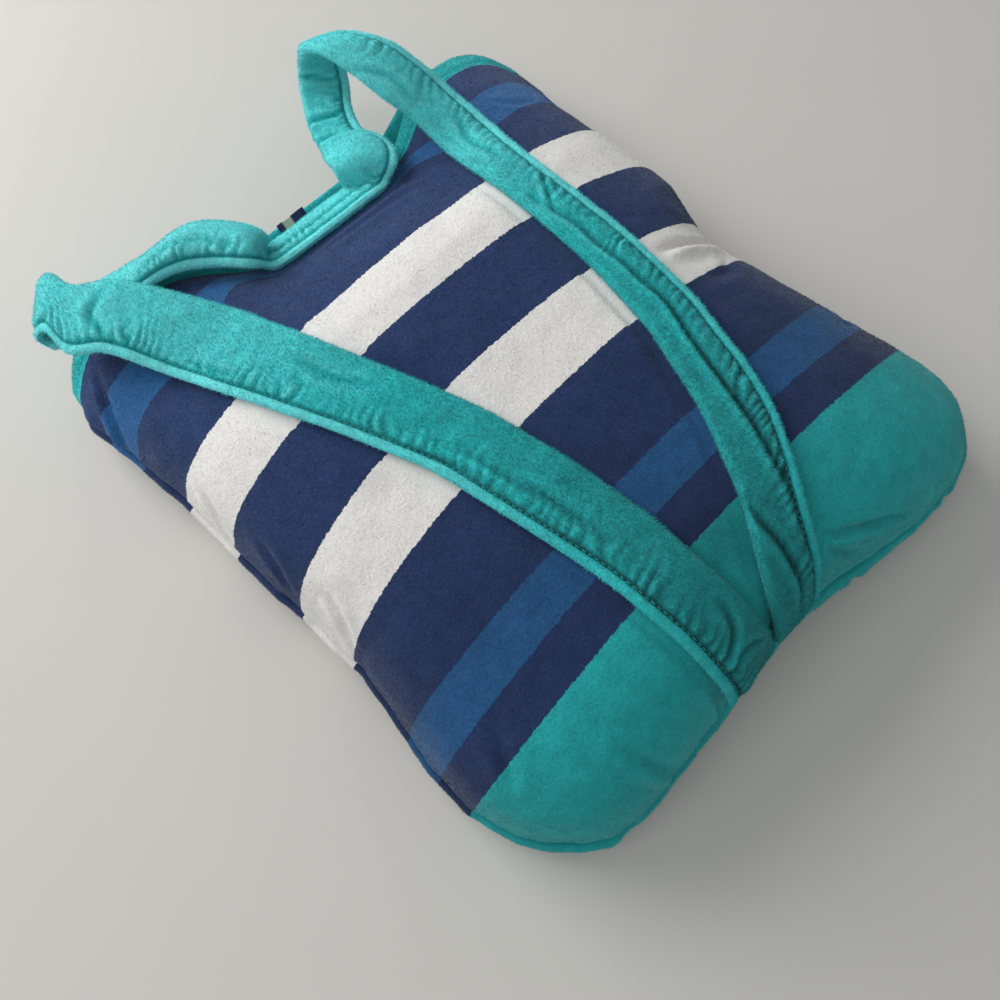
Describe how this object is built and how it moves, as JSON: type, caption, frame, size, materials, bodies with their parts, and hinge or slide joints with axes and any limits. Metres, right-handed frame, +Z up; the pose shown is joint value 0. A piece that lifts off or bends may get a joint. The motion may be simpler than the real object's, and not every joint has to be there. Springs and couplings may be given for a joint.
{
  "type": "beach towel",
  "caption": "Striped beach towel folded into its own cloth rucksack bag, lying flat with its two straps on top.",
  "frame": {"origin": "middle of the bounding box in plan, on the surface that the bag lies on", "axes": "+X along the stripes, +Y from the bottom seam to the mouth, +Z up"},
  "size_m": [0.351, 0.4474, 0.0994],
  "materials": {
    "striped_velour": "velour with turquoise, navy, mid-blue and white stripes",
    "hem_velour": "turquoise velour",
    "strap_velour": "turquoise velour, edge-stitched",
    "towel_velour": "terry towelling",
    "label_cloth": "woven tape"
  },
  "bodies": {
    "root": {"upper_panel": "striped_velour", "lower_panel": "striped_velour", "upper_hem": "hem_velour", "lower_hem": "hem_velour", "strap_left": "strap_velour", "strap_neck": "strap_velour", "strap_right": "strap_velour", "folded_towel": "towel_velour", "label": "label_cloth"}
  },
  "joints": []
}
